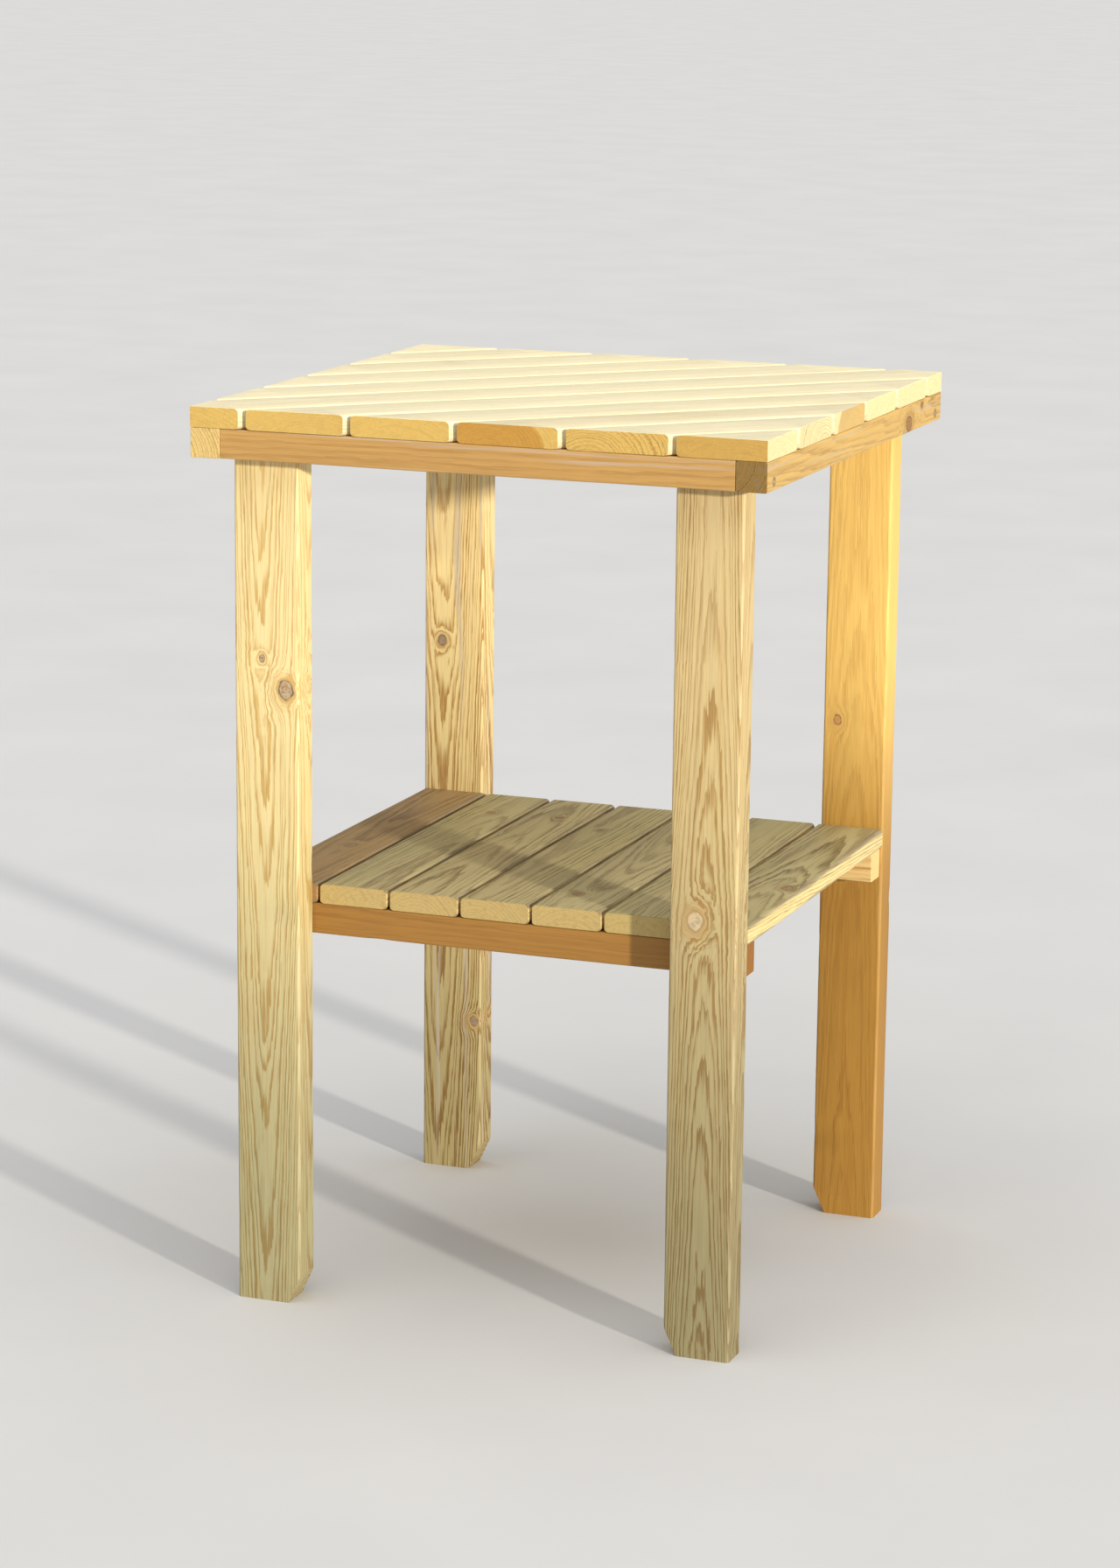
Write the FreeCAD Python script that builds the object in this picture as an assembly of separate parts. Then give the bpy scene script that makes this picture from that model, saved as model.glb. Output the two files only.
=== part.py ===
import FreeCAD, Part
import math
import os

# Square wooden potting bench: a slatted top laid diagonally on a frame of four
# rails, four plank legs standing in the frame's corners, and a slatted lower
# shelf on two cross rails. Millimetres. The origin is the middle of the
# footprint on the floor, +X is the right side, -Y the front, +Z up.

# Overall sizes
bench_width = 600.0
bench_depth = 600.0
bench_height = 930.0
shelf_height = 440.0              # floor to the upper face of the shelf boards

# Boards, the same stock on the top and on the shelf
board_width = 74.0
board_thickness = 21.0
board_edge_radius = 4.0
top_gap = 5.3                     # open joint between two top boards
least_shelf_gap = 2.0             # the shelf takes as many boards as leave this much

# Rails, one stock: laid flat under the top, on edge under the shelf
rail_wide = 32.0
rail_narrow = 30.0
rail_edge_radius = 2.0
shelf_rail_setback = 3.0          # shelf rails stop this far inside the legs' outer faces

# Legs
leg_width = 70.0                  # along X
leg_thickness = 36.0              # along Y
leg_edge_radius = 3.0
foot_clip_width = 14.0            # the inner bottom corner is sawn off
foot_clip_height = 30.0

# Countersunk wood screws, all driven from inside or underneath except at the corners
slim_screw_diameter = 4.0         # holds the boards
stout_screw_diameter = 5.0        # holds the legs, the shelf rails and the corners
head_ratio = 2.0                  # head diameter over screw diameter
shank_clearance = 0.5             # on diameter, in the piece that the screw pulls down
tip_length = 4.0
recess_width = 0.9                # arms of the cross recess in a head
recess_reach = 0.6                # share of the head's diameter that the arms span
recess_depth = 1.3

# Where the screws go
board_screw_bite = 14.0           # depth in a board
corner_screw_bite = 28.0          # depth in a rail's end
leg_screw_bite = 13.0             # depth in a top rail, short of the board screws' row
shelf_rail_screw_bite = 22.0      # depth in a leg
board_screw_row = 11.0            # from a top rail's outer face
corner_screw_row = 21.0           # from the front or rear face, behind the board screws
screw_stagger = 6.0               # corner screws this far below a rail's middle, leg screws above
leg_screw_spread = 40.0           # between the two screws in a leg's top
shelf_rail_screw_spread = 16.0    # between the two in a shelf rail's end, one above the other
shelf_rail_screw_inset = 20.0     # inside a leg's middle, clear of the outer boards' screws
end_margin = 10.0                 # no board screw nearer than this to the end of its rail
pair_run = 60.0                   # a crossing at least this long takes two screws

# Levels and places that follow
half_width = bench_width / 2
half_depth = bench_depth / 2
top_underside = bench_height - board_thickness
top_rail_underside = top_underside - rail_narrow
top_rail_middle = top_rail_underside + rail_narrow / 2
shelf_underside = shelf_height - board_thickness
shelf_rail_underside = shelf_underside - rail_wide
shelf_rail_middle = shelf_rail_underside + rail_wide / 2
leg_outer_x = half_width - rail_wide
leg_outer_y = half_depth - rail_wide
leg_inner_y = leg_outer_y - leg_thickness
leg_middle_x = leg_outer_x - leg_width / 2
leg_middle_y = leg_outer_y - leg_thickness / 2
shelf_rail_y = leg_inner_y - rail_narrow / 2

# The top's middle board runs from the front left corner to the rear right one
diagonal = math.hypot(bench_width, bench_depth)
along_x = bench_width / diagonal
along_y = bench_depth / diagonal
heading = math.degrees(math.atan2(bench_depth, bench_width))
board_pitch = board_width + top_gap
corner_offset = bench_width * bench_depth / diagonal
boards_each_side = math.ceil((corner_offset + board_width / 2) / board_pitch) - 1

sides = {"left": -1, "right": 1}
ends = {"front": -1, "rear": 1}
up = FreeCAD.Vector(0, 0, 1)


def moved(shape, x, y, z):
    shape.translate(FreeCAD.Vector(x, y, z))
    return shape


def timber(size_x, size_y, length, radius):
    """A straight stick standing on the origin, its four long edges rounded."""
    stick = Part.makeBox(size_x, size_y, length, FreeCAD.Vector(-size_x / 2, -size_y / 2, 0))
    long_edges = [e for e in stick.Edges if abs(e.tangentAt(e.FirstParameter).z) > 0.9]
    return stick.makeFillet(radius, long_edges)


def laid(width, height, length, radius, turn):
    """A stick lying on Z = 0, centred on the origin, turned from +X by turn degrees."""
    stick = moved(timber(height, width, length, radius), 0, 0, -length / 2)
    stick.rotate(FreeCAD.Vector(0, 0, 0), FreeCAD.Vector(0, 1, 0), 90)
    stick.rotate(FreeCAD.Vector(0, 0, 0), up, turn)
    return moved(stick, 0, 0, height / 2)


def aimed(shape, place, direction):
    """A shape made along +Z, set at place and pointing along direction."""
    shape.Placement = FreeCAD.Placement(place, FreeCAD.Rotation(up, direction))
    return shape


def revolved(outline):
    wire = Part.makePolygon([FreeCAD.Vector(r, 0, z) for r, z in outline + outline[:1]])
    return Part.Face(wire).revolve(FreeCAD.Vector(0, 0, 0), up, 360)


def screw(diameter, length):
    """A countersunk screw pointing up, the top of its head at the origin."""
    radius = diameter / 2
    head = radius * head_ratio
    outline = [(0, 0), (head, 0), (radius, head - radius), (radius, length - tip_length), (0, length)]
    arm = 2 * head * recess_reach
    body = revolved(outline)
    for size_x, size_y in ((arm, recess_width), (recess_width, arm)):
        corner = FreeCAD.Vector(-size_x / 2, -size_y / 2, 0)
        body = body.cut(Part.makeBox(size_x, size_y, recess_depth, corner))
    return body


def screw_hole(diameter, length, first_piece):
    """The hole for that screw: an easy fit through the first piece, tight in the second."""
    radius = diameter / 2
    easy = radius + shank_clearance / 2
    head = radius * head_ratio
    outline = [(0, 0), (head, 0), (easy, head - easy), (easy, first_piece), (radius, first_piece),
               (radius, length - tip_length), (0, length)]
    return revolved(outline)


def crossing(low, high, reach):
    """Middles of the screws where a board crosses a rail between low and high."""
    low = max(low, -reach)
    high = min(high, reach)
    run = high - low
    if run >= pair_run:
        return [low + run / 4, high - run / 4]
    if run >= slim_screw_diameter * head_ratio:
        return [low + run / 2]
    return []


def top_board(step):
    """The board step places to the front right of the middle one, sawn flush all round."""
    offset = step * board_pitch
    board = laid(board_width, board_thickness, 2 * diagonal, board_edge_radius, heading)
    board = moved(board, offset * along_y, -offset * along_x, top_underside)
    corner = FreeCAD.Vector(-half_width, -half_depth, top_underside)
    return board.common(Part.makeBox(bench_width, bench_depth, board_thickness, corner))


def top_board_screw_places(step):
    """Where one top board's screws start, under the rails that it crosses."""
    places = []
    low = step * board_pitch - board_width / 2
    high = step * board_pitch + board_width / 2
    for end in ends.values():
        y = end * (half_depth - board_screw_row)
        reach = half_width - rail_wide - end_margin
        for x in crossing((low + y * along_x) / along_y, (high + y * along_x) / along_y, reach):
            places.append(FreeCAD.Vector(x, y, top_rail_underside))
    for side in sides.values():
        x = side * (half_width - board_screw_row)
        reach = half_depth - rail_wide - end_margin
        for y in crossing((x * along_y - high) / along_x, (x * along_y - low) / along_x, reach):
            places.append(FreeCAD.Vector(x, y, top_rail_underside))
    if not places:
        # a small corner piece: one screw through the end of the side rail
        corner = math.copysign(1, step)
        x = corner * (half_width - board_screw_row)
        y = -corner * (half_depth - end_margin)
        places.append(FreeCAD.Vector(x, y, top_rail_underside))
    return places


def side_top_rail(side):
    rail = laid(rail_wide, rail_narrow, bench_depth, rail_edge_radius, 90)
    return moved(rail, side * (half_width - rail_wide / 2), 0, top_rail_underside)


def end_top_rail(end):
    """Front or rear rail, butted between the side rails."""
    rail = laid(rail_wide, rail_narrow, bench_width - 2 * rail_wide, rail_edge_radius, 0)
    return moved(rail, 0, end * (half_depth - rail_wide / 2), top_rail_underside)


def leg(side, end):
    """Plank leg up to the boards' underside, its inner bottom corner sawn off."""
    plank = timber(leg_width, leg_thickness, top_underside, leg_edge_radius)
    inner = -side * leg_width / 2
    clip = [FreeCAD.Vector(inner, 0, 0), FreeCAD.Vector(inner, 0, foot_clip_height),
            FreeCAD.Vector(inner + side * foot_clip_width, 0, 0), FreeCAD.Vector(inner, 0, 0)]
    wedge = Part.Face(Part.makePolygon(clip)).extrude(FreeCAD.Vector(0, leg_thickness, 0))
    plank = plank.cut(moved(wedge, 0, -leg_thickness / 2, 0))
    return moved(plank, side * leg_middle_x, end * leg_middle_y, 0)


def shelf_rail(end):
    length = 2 * (leg_outer_x - shelf_rail_setback)
    rail = laid(rail_narrow, rail_wide, length, rail_edge_radius, 0)
    return moved(rail, 0, end * shelf_rail_y, shelf_rail_underside)


def shelf_board_middles():
    """X of each shelf board's middle: evenly spread, the outer two flush with the legs."""
    span = 2 * leg_outer_x
    count = math.floor((span + least_shelf_gap) / (board_width + least_shelf_gap))
    step = (span - board_width) / (count - 1)
    return [-leg_outer_x + board_width / 2 + i * step for i in range(count)]


def shelf_board(x):
    board = laid(board_width, board_thickness, 2 * leg_inner_y, board_edge_radius, 90)
    return moved(board, x, 0, shelf_underside)


def fasten(nodes, group, diameter, first, bite, fixings):
    """Drill and drive one kind of screw. A fixing is (place, direction, outer piece, inner piece)."""
    length = first + bite
    driven = []
    for place, direction, outer, inner in fixings:
        for name in (outer, inner):
            hole = aimed(screw_hole(diameter, length, first), place, direction)
            nodes[name] = nodes[name].cut(hole)
        driven.append(aimed(screw(diameter, length), place, direction))
    nodes[group] = Part.makeCompound(driven)


def rail_over(place):
    """Name of the top rail that a board screw goes through."""
    if abs(place.x) > half_width - rail_wide:
        return "right_top_rail" if place.x > 0 else "left_top_rail"
    return "rear_top_rail" if place.y > 0 else "front_top_rail"


def build():
    nodes = {}

    # Timber
    steps = range(-boards_each_side, boards_each_side + 1)
    board_names = {step: f"top_board_{step + boards_each_side + 1:02d}" for step in steps}
    for step, name in board_names.items():
        nodes[name] = top_board(step)
    for side_name, side in sides.items():
        nodes[f"{side_name}_top_rail"] = side_top_rail(side)
    for end_name, end in ends.items():
        nodes[f"{end_name}_top_rail"] = end_top_rail(end)
        nodes[f"{end_name}_shelf_rail"] = shelf_rail(end)
        for side_name, side in sides.items():
            nodes[f"{end_name}_{side_name}_leg"] = leg(side, end)
    shelf_names = {f"shelf_board_{i + 1}": x for i, x in enumerate(shelf_board_middles())}
    for name, x in shelf_names.items():
        nodes[name] = shelf_board(x)

    # Top boards, from under the rails
    fixings = []
    for step, name in board_names.items():
        fixings += [(place, up, rail_over(place), name) for place in top_board_screw_places(step)]
    fasten(nodes, "top_board_screws", slim_screw_diameter, rail_narrow, board_screw_bite, fixings)

    # Frame corners, legs and shelf rails
    corner_fixings = []
    leg_fixings = []
    shelf_rail_fixings = []
    for end_name, end in ends.items():
        outward = FreeCAD.Vector(0, end, 0)
        for side_name, side in sides.items():
            place = FreeCAD.Vector(side * half_width, end * (half_depth - corner_screw_row),
                                   top_rail_middle - screw_stagger)
            corner_fixings.append((place, FreeCAD.Vector(-side, 0, 0), f"{side_name}_top_rail",
                                   f"{end_name}_top_rail"))
            leg_name = f"{end_name}_{side_name}_leg"
            for shift in (-leg_screw_spread / 2, leg_screw_spread / 2):
                x = side * leg_middle_x + shift
                place = FreeCAD.Vector(x, end * leg_inner_y, top_rail_middle + screw_stagger)
                leg_fixings.append((place, outward, leg_name, f"{end_name}_top_rail"))
            for shift in (-shelf_rail_screw_spread / 2, shelf_rail_screw_spread / 2):
                place = FreeCAD.Vector(side * (leg_middle_x - shelf_rail_screw_inset),
                                       end * (leg_inner_y - rail_narrow), shelf_rail_middle + shift)
                shelf_rail_fixings.append((place, outward, f"{end_name}_shelf_rail", leg_name))
    stout = stout_screw_diameter
    fasten(nodes, "frame_corner_screws", stout, rail_wide, corner_screw_bite, corner_fixings)
    fasten(nodes, "leg_screws", stout, leg_thickness, leg_screw_bite, leg_fixings)
    fasten(nodes, "shelf_rail_screws", stout, rail_narrow, shelf_rail_screw_bite, shelf_rail_fixings)

    # Shelf boards, from under the shelf rails
    fixings = []
    for name, x in shelf_names.items():
        for end_name, end in ends.items():
            place = FreeCAD.Vector(x, end * shelf_rail_y, shelf_rail_underside)
            fixings.append((place, up, f"{end_name}_shelf_rail", name))
    fasten(nodes, "shelf_board_screws", slim_screw_diameter, rail_wide, board_screw_bite, fixings)
    return nodes


os.makedirs("parts", exist_ok=True)
for node, shape in build().items():
    shape.exportStep(f"parts/{node}.step")
    solids = shape.Solids
    print(node, len(solids), "solids", round(sum(s.Volume for s in solids) / 1000, 1), "cm3", shape.isValid())
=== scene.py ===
import bmesh
import bpy
import math
import random
from mathutils import Matrix, Vector


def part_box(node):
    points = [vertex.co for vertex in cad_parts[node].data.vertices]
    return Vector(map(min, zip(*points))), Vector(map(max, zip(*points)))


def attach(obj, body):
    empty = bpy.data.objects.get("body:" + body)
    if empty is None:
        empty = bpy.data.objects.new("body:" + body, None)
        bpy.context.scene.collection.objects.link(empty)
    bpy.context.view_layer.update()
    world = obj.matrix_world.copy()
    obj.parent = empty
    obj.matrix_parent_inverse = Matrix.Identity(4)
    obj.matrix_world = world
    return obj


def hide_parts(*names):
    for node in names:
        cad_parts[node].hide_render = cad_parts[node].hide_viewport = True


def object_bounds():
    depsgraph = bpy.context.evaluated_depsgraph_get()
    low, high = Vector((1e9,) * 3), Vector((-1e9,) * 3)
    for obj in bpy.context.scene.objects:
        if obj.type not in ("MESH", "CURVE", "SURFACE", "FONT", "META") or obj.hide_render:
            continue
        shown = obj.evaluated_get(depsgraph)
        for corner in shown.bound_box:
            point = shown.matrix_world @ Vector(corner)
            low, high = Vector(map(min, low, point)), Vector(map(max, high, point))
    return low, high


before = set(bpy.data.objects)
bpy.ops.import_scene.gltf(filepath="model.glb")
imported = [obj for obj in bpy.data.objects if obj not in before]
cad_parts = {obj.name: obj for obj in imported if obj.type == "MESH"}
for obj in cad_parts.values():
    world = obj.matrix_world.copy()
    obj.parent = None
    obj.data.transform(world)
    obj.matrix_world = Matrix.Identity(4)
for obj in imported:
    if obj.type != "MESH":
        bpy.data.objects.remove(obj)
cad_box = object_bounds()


# ---------------------------------------------------------------- the view
# The bench is looked at from a little to the right of its front, from standing height a few
# paces away, through a long lens. The aim is a point near the middle of the bench.
view_turn = math.radians(20.57)
view_rise = math.radians(12.29)
view_roll = math.radians(0.585)
view_distance = 4.494
view_aim = Vector((-0.018, 0.0, 0.512))

back = Vector((math.sin(view_turn) * math.cos(view_rise),
               -math.cos(view_turn) * math.cos(view_rise),
               math.sin(view_rise)))
level = Vector((0, 0, 1)).cross(back).normalized()
upright = back.cross(level)
right = level * math.cos(view_roll) + upright * math.sin(view_roll)
above = upright * math.cos(view_roll) - level * math.sin(view_roll)

camera = bpy.data.objects.new("camera", bpy.data.cameras.new("camera"))
bpy.context.scene.collection.objects.link(camera)
bpy.context.scene.camera = camera
camera.data.lens = 98.27
camera.data.sensor_width = 36.0
camera.data.clip_end = 200.0
camera.matrix_world = (Matrix.Translation(view_aim + back * view_distance)
                       @ Matrix((right, above, back)).transposed().to_4x4())


# ---------------------------------------------------------------- legs
# Four planks of planed, pressure-treated pine, standing in the corners of the top frame with
# their wide faces to the front and rear. The inner bottom corner of each is sawn off.
def add(tree, kind, takes=None, **options):
    """Add a node, set its options, and fill or connect its inputs."""
    node = tree.nodes.new(kind)
    for name, value in options.items():
        setattr(node, name, value)
    for socket, value in (takes or {}).items():
        if isinstance(value, bpy.types.NodeSocket):
            tree.links.new(value, node.inputs[socket])
        else:
            node.inputs[socket].default_value = value
    return node


def calc(tree, operation, *values):
    """A Math node's result."""
    return add(tree, "ShaderNodeMath", dict(enumerate(values)), operation=operation).outputs[0]


def vector_calc(tree, operation, *values):
    """A Vector Math node's vector."""
    return add(tree, "ShaderNodeVectorMath", dict(enumerate(values)), operation=operation).outputs[0]


def scaled(tree, vector, size):
    """The vector times a number."""
    return add(tree, "ShaderNodeVectorMath", {0: vector, "Scale": size}, operation="SCALE").outputs[0]


def noise(tree, spot, detail, scale=1.0, output=0):
    """A noise texture's value, or its colour where the output is "Color"."""
    return add(tree, "ShaderNodeTexNoise",
               {"Vector": spot, "Scale": scale, "Detail": detail}).outputs[output]


def smooth(tree, value, low, high, to_low=0.0, to_high=1.0):
    """The value carried smoothly from low..high to to_low..to_high."""
    takes = {0: value, 1: low, 2: high, 3: to_low, 4: to_high}
    return add(tree, "ShaderNodeMapRange", takes, interpolation_type="SMOOTHSTEP").outputs[0]


def new_tree(name, kind, takes, gives):
    """A node group with named inputs and outputs. Returns it, its inputs and its output node."""
    tree = bpy.data.node_groups.new(name, kind)
    for side, sockets in (("INPUT", takes), ("OUTPUT", gives)):
        for label, (socket, start) in sockets.items():
            item = tree.interface.new_socket(label, in_out=side, socket_type="NodeSocket" + socket)
            if start is not None:
                item.default_value = start
    given = tree.nodes.new("NodeGroupInput").outputs
    return tree, given, tree.nodes.new("NodeGroupOutput")


def close_tree(tree, result, **outputs):
    """Connect a node group's results to its outputs, an underscore standing for a space."""
    for label, socket in outputs.items():
        tree.links.new(socket, result.inputs[label.replace("_", " ")])


# A planed stick: a rounded rectangle swept along +Z from the origin, its arrises a little worn
stick_sizes = {"Width": ("Float", 0.07), "Thickness": ("Float", 0.036), "Length": ("Float", 0.9),
               "Arris Radius": ("Float", 0.003), "Wear": ("Float", 0.0004), "Seed": ("Float", 0.0)}
arris_steps = 5
sweep_step = 0.008
stick, given, result = new_tree("planed stick", "GeometryNodeTree", stick_sizes,
                                {"Mesh": ("Geometry", None)})
tree = stick
outline = add(tree, "GeometryNodeCurvePrimitiveQuadrilateral",
              {"Width": given["Width"], "Height": given["Thickness"]}).outputs[0]
outline = add(tree, "GeometryNodeFilletCurve",
              {"Curve": outline, "Radius": given["Arris Radius"], "Count": arris_steps},
              mode="POLY").outputs[0]
line_end = add(tree, "ShaderNodeCombineXYZ", {"Z": given["Length"]}).outputs[0]
line = add(tree, "GeometryNodeCurvePrimitiveLine", {"Start": (0, 0, 0), "End": line_end}).outputs[0]
line = add(tree, "GeometryNodeResampleCurve", {"Curve": line, "Length": sweep_step},
           mode="LENGTH").outputs[0]
sweep = add(tree, "GeometryNodeCurveToMesh",
            {"Curve": line, "Profile Curve": outline, "Fill Caps": True}).outputs[0]
place = add(tree, "GeometryNodeInputPosition").outputs[0]
shifted = vector_calc(tree, "ADD", vector_calc(tree, "MULTIPLY", place, (1, 1, 0.2)), given["Seed"])
uneven = noise(tree, shifted, 2.0, 28.0)
nicked = noise(tree, shifted, 1.0, 90.0)
dent = calc(tree, "ADD", smooth(tree, uneven, 0.3, 0.75), smooth(tree, nicked, 0.66, 0.8, 0.0, 2.0))
normal = add(tree, "GeometryNodeInputNormal").outputs[0]
inward = vector_calc(tree, "MULTIPLY", normal, (-1, -1, 0))
push = scaled(tree, inward, calc(tree, "MULTIPLY", dent, given["Wear"]))
worn = add(tree, "GeometryNodeSetPosition", {"Geometry": sweep, "Offset": push}).outputs[0]
close_tree(tree, result, Mesh=worn)


sharp_angle = math.radians(40)


def finish_tree(tree, result, mesh, given):
    """Mark the sharp edges of the stick's mesh and give it its material."""
    angle = add(tree, "GeometryNodeInputMeshEdgeAngle").outputs[0]
    sharp = calc(tree, "GREATER_THAN", angle, sharp_angle)
    mesh = add(tree, "GeometryNodeSetShadeSmooth", {"Geometry": mesh, "Shade Smooth": True}).outputs[0]
    mesh = add(tree, "GeometryNodeSetShadeSmooth",
               {"Geometry": mesh, "Selection": sharp, "Shade Smooth": False}, domain="EDGE").outputs[0]
    mesh = add(tree, "GeometryNodeRealizeInstances", {"Geometry": mesh}).outputs[0]
    mesh = add(tree, "GeometryNodeSetMaterial",
               {"Geometry": mesh, "Material": given["Material"]}).outputs[0]
    close_tree(tree, result, Mesh=mesh)


def laid(tree, mesh, given):
    """The stick's mesh, turned and put in its place."""
    return add(tree, "GeometryNodeTransform",
               {"Geometry": mesh, "Translation": given["Place"], "Rotation": given["Turn"]}).outputs[0]


placing = {"Place": ("Vector", None), "Turn": ("Rotation", None), "Material": ("Material", None)}


def stick_node(tree, given):
    """The planed stick inside another tree, fed from that tree's own inputs."""
    node = tree.nodes.new("GeometryNodeGroup")
    node.node_tree = stick
    for label in stick_sizes:
        tree.links.new(given[label], node.inputs[label])
    return node.outputs[0]


# A leg: the stick with the inner bottom corner sawn off
leg_tree, given, result = new_tree(
    "leg", "GeometryNodeTree",
    stick_sizes | {"Clip Width": ("Float", 0.014), "Clip Height": ("Float", 0.03),
                   "Inner Side": ("Float", 1.0)} | placing,
    {"Mesh": ("Geometry", None)})
tree = leg_tree
saw_size = 0.1
half_clip = calc(tree, "MULTIPLY", given["Clip Width"], 0.5)
from_middle = calc(tree, "SUBTRACT", calc(tree, "MULTIPLY", given["Width"], 0.5), half_clip)
lean = calc(tree, "ARCTAN2", given["Clip Width"], given["Clip Height"])
out_x = calc(tree, "MULTIPLY", calc(tree, "COSINE", lean), saw_size / 2)
out_z = calc(tree, "MULTIPLY", calc(tree, "SINE", lean), -saw_size / 2)
saw_x = calc(tree, "MULTIPLY", calc(tree, "ADD", from_middle, out_x), given["Inner Side"])
saw_z = calc(tree, "ADD", calc(tree, "MULTIPLY", given["Clip Height"], 0.5), out_z)
saw_place = add(tree, "ShaderNodeCombineXYZ", {"X": saw_x, "Z": saw_z}).outputs[0]
saw_turn = add(tree, "ShaderNodeCombineXYZ",
               {"Y": calc(tree, "MULTIPLY", lean, given["Inner Side"])}).outputs[0]
saw = add(tree, "GeometryNodeMeshCube", {"Size": (saw_size, saw_size, saw_size)}).outputs[0]
saw = add(tree, "GeometryNodeTransform",
          {"Geometry": saw, "Translation": saw_place, "Rotation": saw_turn}).outputs[0]
sawn = add(tree, "GeometryNodeMeshBoolean",
           {"Mesh 1": stick_node(tree, given), "Mesh 2": saw}, operation="DIFFERENCE", solver="EXACT")
finish_tree(tree, result, laid(tree, sawn.outputs[0], given), given)

# A knot: fibres part round it, and Reach is the distance from it in knot radii. Wood without a
# knot has a reach past which a knot changes nothing.
no_knot = 9.0
knot_group, given, result = new_tree(
    "knot", "ShaderNodeTree",
    {"Place": ("Vector", None), "Reach": ("Float", no_knot), "Across": ("Float", 0.0),
     "Along": ("Float", 0.0), "Radius": ("Float", 0.006), "Stretch": ("Float", 1.25),
     "Tilt": ("Float", 0.2), "Parting": ("Float", 1.35)},
    {"Place": ("Vector", None), "Reach": ("Float", None)})
tree = knot_group
parts = add(tree, "ShaderNodeSeparateXYZ", {0: given["Place"]}).outputs
lump = noise(tree, given["Place"], 1.5, 110.0)
dx = calc(tree, "SUBTRACT", parts[0], given["Across"])
dz = calc(tree, "SUBTRACT", parts[2], given["Along"])
dz = calc(tree, "SUBTRACT", dz, calc(tree, "MULTIPLY", parts[1], given["Tilt"]))
dz = calc(tree, "DIVIDE", dz, given["Stretch"])
away = calc(tree, "SQRT", calc(tree, "MULTIPLY_ADD", dx, dx, calc(tree, "MULTIPLY", dz, dz)))
away = calc(tree, "MULTIPLY", away, smooth(tree, lump, 0.2, 0.8, 0.87, 1.13))
reach = calc(tree, "DIVIDE", away, given["Radius"])
outside = calc(tree, "MAXIMUM", calc(tree, "DIVIDE", reach, given["Parting"]), 1.0)
parting = calc(tree, "DIVIDE", 1.0, calc(tree, "MULTIPLY", outside, outside))
parting = calc(tree, "SUBTRACT", 1.0, parting)
new_x = calc(tree, "MULTIPLY_ADD", dx, parting, given["Across"])
parted = add(tree, "ShaderNodeCombineXYZ", {"X": new_x, "Y": parts[1], "Z": parts[2]})
close_tree(tree, result, Place=parted.outputs[0],
           Reach=calc(tree, "MINIMUM", given["Reach"], reach))

# Growth rings: cylinders round a pith that lies behind the wide face, narrowing up the tree
ring_group, given, result = new_tree(
    "growth rings", "ShaderNodeTree",
    {"Place": ("Vector", None), "Reach": ("Float", no_knot), "Pith Across": ("Float", 0.0),
     "Pith Depth": ("Float", 0.04), "Ring Width": ("Float", 0.0025), "Taper": ("Float", 0.025),
     "Wander": ("Float", 0.006), "Knot Swell": ("Float", 0.005), "Heart Radius": ("Float", 0.0),
     "Seed": ("Float", 0.0)},
    {"Latewood": ("Float", None), "Heartwood": ("Float", None)})
tree = ring_group


def streaked(tree, place, stretch, seed):
    """The place, each axis stretched by its own amount and moved by the seed."""
    return vector_calc(tree, "ADD", vector_calc(tree, "MULTIPLY", place, stretch), seed)


def strayed(tree, given, stretch, detail, reach):
    """A shift that wanders over the wood by up to half the reach each way."""
    shift = noise(tree, streaked(tree, given["Place"], stretch, given["Seed"]), detail, output="Color")
    return scaled(tree, vector_calc(tree, "SUBTRACT", shift, (0.5, 0.5, 0.5)), reach)


drift = strayed(tree, given, (9.0, 9.0, 2.2), 1.5, given["Wander"])
wavy = strayed(tree, given, (70.0, 70.0, 11.0), 2.0, given["Ring Width"])
bent = vector_calc(tree, "ADD", vector_calc(tree, "ADD", given["Place"], drift), wavy)
parts = add(tree, "ShaderNodeSeparateXYZ", {0: bent}).outputs
dx = calc(tree, "SUBTRACT", parts[0], given["Pith Across"])
dy = calc(tree, "SUBTRACT", parts[1], given["Pith Depth"])
radius = calc(tree, "SQRT", calc(tree, "MULTIPLY_ADD", dx, dx, calc(tree, "MULTIPLY", dy, dy)))
radius = calc(tree, "SUBTRACT", radius, calc(tree, "MULTIPLY", parts[2], given["Taper"]))
heart = smooth(tree, calc(tree, "SUBTRACT", given["Heart Radius"], radius), -0.0015, 0.0025)
nearness = calc(tree, "MULTIPLY", given["Reach"], given["Reach"])
nearness = calc(tree, "EXPONENT", calc(tree, "MULTIPLY", -0.2, nearness))
radius = calc(tree, "MULTIPLY_ADD", nearness, given["Knot Swell"], radius)
rings = calc(tree, "DIVIDE", radius, given["Ring Width"])
pace = add(tree, "ShaderNodeTexNoise",
           {"W": calc(tree, "MULTIPLY_ADD", rings, 0.31, given["Seed"]), "Scale": 1.0},
           noise_dimensions="1D").outputs[0]
rings = calc(tree, "MULTIPLY_ADD", pace, 2.2, rings)
feather = noise(tree, streaked(tree, given["Place"], (520.0, 520.0, 24.0), given["Seed"]), 3.0)
rings = calc(tree, "MULTIPLY_ADD", feather, 0.85, rings)
year = calc(tree, "FLOOR", rings)
season = calc(tree, "FRACT", rings)
rise = smooth(tree, season, 0.35, 0.9)
fall = smooth(tree, season, 0.94, 1.0, 1.0, 0.0)
vigour = add(tree, "ShaderNodeTexWhiteNoise", {"W": calc(tree, "ADD", year, given["Seed"])},
             noise_dimensions="1D").outputs["Value"]
vigour = calc(tree, "MULTIPLY_ADD", vigour, 0.55, 0.45)
late = calc(tree, "MULTIPLY", calc(tree, "MULTIPLY", rise, fall), vigour)
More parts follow.
